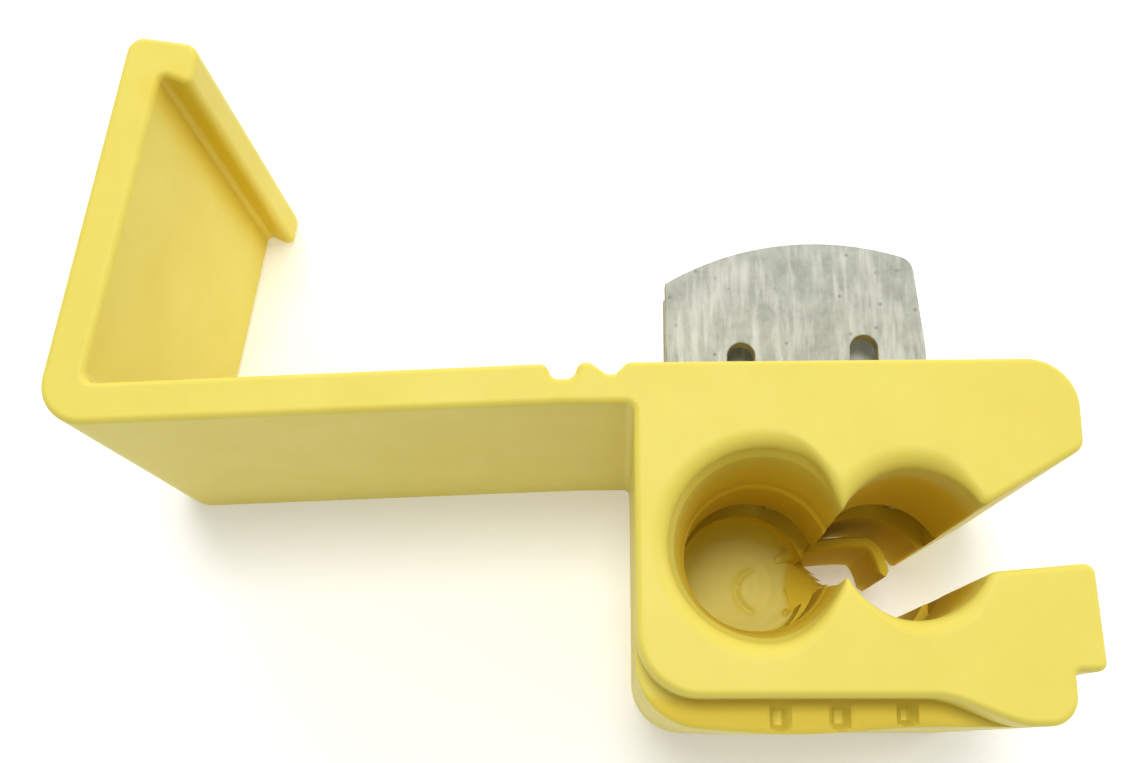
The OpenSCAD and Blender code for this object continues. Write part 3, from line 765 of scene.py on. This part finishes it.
def addHousing():
    rings = housingSurface()
    piece = newMoulding("housingMoulding", rings.reshape(-1, 3), loftFaces(*rings.shape[:2]))
    cutPocket(piece)
    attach(piece, "housing")
    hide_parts("housing")


addHousing()
print("housing ready")


def coverChains():
    # The strap's top face, the flap's inner face and the lip in one chain, and the outer face, the round
    # corner and the underside in the other. Both start at the housing.
    cover = coverShape
    sag = np.radians(cover["sagDegrees"])
    lean = np.radians(cover["sagDegrees"] - 90 + cover["cornerDegrees"])
    fold = np.array(cover["outerFold"])
    along = -np.array([np.cos(sag), np.sin(sag)])
    up = np.array([-np.sin(sag), np.cos(sag)])
    flapUp = np.array([-np.sin(lean), np.cos(lean)])
    outward = -np.array([np.cos(lean), np.sin(lean)])
    thick, length = cover["thickness"], cover["flapLength"]
    inner = fold + cover["strapLength"] * along + cover["hingeDepth"] * up
    # The outer faces meet on the line that halves the corner, a wall's thickness off both inner faces
    outer = inner + (outward - up) * thick / (1 - np.dot(outward, up))

    def onFlap(x, y, radius):
        return (*(inner + x * outward + y * flapUp), radius)

    end = length + cover["lipThickness"]
    middle = onFlap(thick, length * 0.5, 0.0)
    topChain = roundedChain([
        (*cover["housingEdge"], 0.0), *cover["grooves"], (*inner, cover["innerCornerRadius"]),
        onFlap(0.0, length, cover["lipRootRadius"]),
        onFlap(-cover["lipReach"], length - cover["lipHook"], cover["lipTip"]),
        onFlap(-cover["lipReach"], end, cover["lipRadius"]),
        onFlap(thick, end, cover["lipRadius"]), middle])
    underY = housingShape["height"] - thick
    bottomChain = roundedChain([
        middle, (*outer, thick), (fold[0], underY, cover["underRadius"]), (0.0, underY, 0.0)])
    bottomChain = bottomChain[0][::-1], bottomChain[1][::-1]
    return topChain, bottomChain, inner, along, up, outward, flapUp


def splitChain(chain, point, way):
    # Parts a chain where it first crosses the line through a point, square to way
    points, normals = chain
    side = (points - point) @ np.asarray(way, float)
    after = int(np.argmax(side >= 0))
    share = -side[after - 1] / (side[after] - side[after - 1])
    crossing = points[after - 1] + share * (points[after] - points[after - 1])
    normal = normals[after - 1]
    first = np.vstack([points[:after], crossing]), np.vstack([normals[:after], normal])
    second = np.vstack([crossing, points[after:]]), np.vstack([normal, normals[after:]])
    return [(part[0], alongCut(*part, crossing, leftOf(way))) for part in (first, second)]


def closedOutline(top, bottom):
    # Out along the top chain and back along the bottom one
    return np.vstack([top[0], bottom[0][::-1]]), np.vstack([top[1], bottom[1][::-1]])


def addCover():
    cover, shape = coverShape, housingShape
    top, bottom, corner, along, up, outward, flapUp = coverChains()
    left = np.array([-1.0, 0.0])
    half = cover["webHalf"]
    innerX, outerX, level = cover["innerFold"][0], cover["outerFold"][0], cover["innerFold"][1]
    lines = [((innerX + half, level), left), ((innerX - half, level), left),
             ((outerX + half, level), left), ((outerX - half, level), left),
             (corner - cover["cornerCut"] * along, along), (corner + cover["cornerCut"] * flapUp, flapUp)]
    names = ["hingeWebInner", "hingeLink", "hingeWebOuter", "coverStrap", "cornerWeb", "coverFlap"]
    _, top = splitChain(top, *lines[0])
    _, bottom = splitChain(bottom, *lines[0])
    pieces = {}
    for index, name in enumerate(names):
        nextTop, nextBottom = None, None
        if index + 1 < len(lines):
            top, nextTop = splitChain(top, *lines[index + 1])
            bottom, nextBottom = splitChain(bottom, *lines[index + 1])
        outline, inward = closedOutline(top, bottom)
        pieces[name] = mouldedPrism(name, outline, inward, (0.0, shape["length"]),
                                    (shape["backRound"], cover["edgeRound"]))
        top, bottom = nextTop, nextBottom

    def place(point):
        return tuple(inRow((*point, 0.0)))

    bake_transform(pieces["hingeWebInner"])
    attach(pieces["hingeLink"], "link")
    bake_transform(pieces["hingeWebOuter"])
    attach(pieces["coverStrap"], "cover")
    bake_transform(pieces["cornerWeb"])
    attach(pieces["coverFlap"], "flap")
    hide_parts("hinge_web_inner")
    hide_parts("hinge_link")
    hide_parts("hinge_web_outer")
    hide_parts("cover_strap")
    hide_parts("corner_web")
    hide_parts("cover_flap", "latch_lip")


addCover()
print("cover ready")


contactShape = {"edgeBevel": 0.05, "bevelDegrees": 40.0, "creaseDegrees": 35.0, "flatDegrees": 0.5,
                "merge": 0.001}


def addContact():
    # The contact keeps its CAD shape; a merged copy gets the small round edges that blanking leaves
    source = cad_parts["u_contact"].data.copy()
    work = bmesh.new()
    work.from_mesh(source)
    bmesh.ops.remove_doubles(work, verts=work.verts, dist=contactShape["merge"] * millimetre)
    bmesh.ops.dissolve_limit(work, angle_limit=np.radians(contactShape["flatDegrees"]), verts=work.verts,
                             edges=work.edges)
    bmesh.ops.recalc_face_normals(work, faces=work.faces)
    mesh = bpy.data.meshes.new("uContact")
    work.to_mesh(mesh)
    work.free()
    bpy.data.meshes.remove(source)
    mesh.materials.clear()
    mesh.materials.append(tin)
    mesh.polygons.foreach_set("use_smooth", np.ones(len(mesh.polygons), bool))
    mesh.set_sharp_from_angle(angle=np.radians(contactShape["creaseDegrees"]))
    contact = bpy.data.objects.new("uContact", mesh)
    bpy.context.scene.collection.objects.link(contact)
    bevel = contact.modifiers.new("blankedEdge", "BEVEL")
    bevel.width = contactShape["edgeBevel"] * millimetre
    bevel.segments, bevel.limit_method = 2, "ANGLE"
    bevel.angle_limit = np.radians(contactShape["bevelDegrees"])
    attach(contact, "contact")
    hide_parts("u_contact")
    print("uContact", len(mesh.polygons), "faces")


addContact()


fingerShape = {
    "path": [(7.75, 8.95), (8.35, 9.25), (9.29, 9.42), (11.53, 9.63), (12.72, 9.5), (13.05, 7.8)],
    "thickness": 0.76, "rootShare": 0.55, "swellRun": 0.9, "tipRun": 0.3, "sectionPower": 5,
    "low": 0.4, "high": 7.0, "floor": 3.9, "rootHigh": 4.6, "lowX": (8.4, 8.75), "highX": (7.9, 9.3),
    "fixedX": 8.75, "freeX": 9.45, "pathSteps": 14, "sides": 36,
}


def smoothPath(corners, count):
    # A quadratic B-spline through the middles of the legs, which keeps the two end points
    corners = np.array(corners, float)
    middles = (corners[1:] + corners[:-1]) / 2
    knots = np.vstack([corners[:1], middles[1:-1], corners[-1:]])
    controls = corners[1:-1]
    s = np.linspace(0.0, 1.0, count)[:, None]
    legs = [(1 - s) ** 2 * knots[i] + 2 * s * (1 - s) * controls[i] + s ** 2 * knots[i + 1]
            for i in range(len(controls))]
    return np.concatenate([leg[:-1] for leg in legs] + [legs[-1][-1:]])


def addFinger():
    # A strip carried along its path: a rounded oblong section whose width along z grows out of the tap
    # floor at the root, and whose thickness swells a little at the bend
    finger = fingerShape
    path = smoothPath(finger["path"], finger["pathSteps"])
    ways = np.gradient(path, axis=0)
    ways /= np.linalg.norm(ways, axis=1)[:, None]
    lefts = np.stack([-ways[:, 1], ways[:, 0]], 1)
    x = path[:, 0]
    low = finger["floor"] + (finger["low"] - finger["floor"]) * smoothStep(x, *finger["lowX"])
    high = finger["rootHigh"] + (finger["high"] - finger["rootHigh"]) * smoothStep(x, *finger["highX"])
    run = np.append(0.0, np.cumsum(np.linalg.norm(np.diff(path, axis=0), axis=1)))
    swell = finger["rootShare"] + (1 - finger["rootShare"]) * smoothStep(run, 0.0, finger["swellRun"])
    toTip = np.clip((run - run[-1] + finger["tipRun"]) / (finger["tipRun"] + 0.01), 0, 1)
    half = finger["thickness"] / 2 * swell * np.sqrt(np.clip(1 - toTip ** 2, 0.02, 1))
    angle = np.linspace(0.0, 2 * np.pi, finger["sides"] + 1)[:-1]
    # Superellipse: cos and sin raised to 2 / power, which gives an oblong with soft corners
    power = 2 / finger["sectionPower"]
    across = np.sign(np.cos(angle)) * np.abs(np.cos(angle)) ** power
    upright = np.sign(np.sin(angle)) * np.abs(np.sin(angle)) ** power
    strip = path[:, None] + (half[:, None] * across[None])[..., None] * lefts[:, None]
    deep = ((low + high) / 2)[:, None] + ((high - low) / 2)[:, None] * upright[None]
    rings = np.concatenate([strip, deep[..., None]], 2)
    piece = newMoulding("retainingFinger", rings.reshape(-1, 3), loftFaces(*rings.shape[:2]))
    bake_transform(piece)
    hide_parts("retaining_finger")


# Reach of the torn edge, in mm towards the run axis, against the direction from that axis in degrees
flashShape = {
    "edge": [(150, 0.02), (152, 0.5), (154, 0.35), (157, 1.2), (159, 0.8), (163, 1.6), (166, 1.2),
             (170, 2.0), (173, 1.5), (178, 2.5), (182, 2.0), (187, 2.8), (191, 2.1), (197, 2.7),
             (202, 2.0), (208, 2.4), (213, 1.6), (220, 1.5), (226, 0.8), (233, 0.5), (240, 0.02)],
    "root": 0.3, "thickness": 0.34, "thinning": 0.85, "z": 4.36, "swirl": 0.16,
    "waveHeight": 0.3, "waves": 9.0, "droop": 0.35,
}


def addFlash():
    # The torn edge of the tap floor: a plate in polar coordinates about the run axis, from just inside
    # the wall out to a ragged reach, with s from 0 to 1 along it. It thins evenly towards its edge, and
    # waves and droops by s^2.
    flash, ports = flashShape, portShape
    degrees = np.linspace(flash["edge"][0][0], flash["edge"][-1][0], 260)
    reach = np.interp(degrees, *np.array(flash["edge"], float).T)
    s = np.linspace(0.0, 1.0, 12)[None]
    around = np.radians(degrees)[:, None] + flash["swirl"] * s ** 2 * reach[:, None] / 2
    radius = ports["runRadius"] + flash["root"] - s * (reach[:, None] + flash["root"])
    thick = flash["thickness"] / 2 * (1 - flash["thinning"] * s)
    wave = flash["waveHeight"] * s ** 2 * np.sin(around * flash["waves"])
    bow = wave - flash["droop"] * s ** 2 * reach[:, None] / 2
    x = ports["runX"] + radius * np.cos(around)
    y = ports["y"] + radius * np.sin(around)
    upper = np.stack([x, y, flash["z"] + bow + thick], 2)
    lower = np.stack([x, y, flash["z"] + bow - thick], 2)
    ring = np.concatenate([upper, lower[:, ::-1]], 1)
    piece = newMoulding("tornFlash", ring.reshape(-1, 3), loftFaces(*ring.shape[:2]),
                        meshing["flashDegrees"])
    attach(piece, "housing")


addFinger()
addFlash()
print("finger ready")
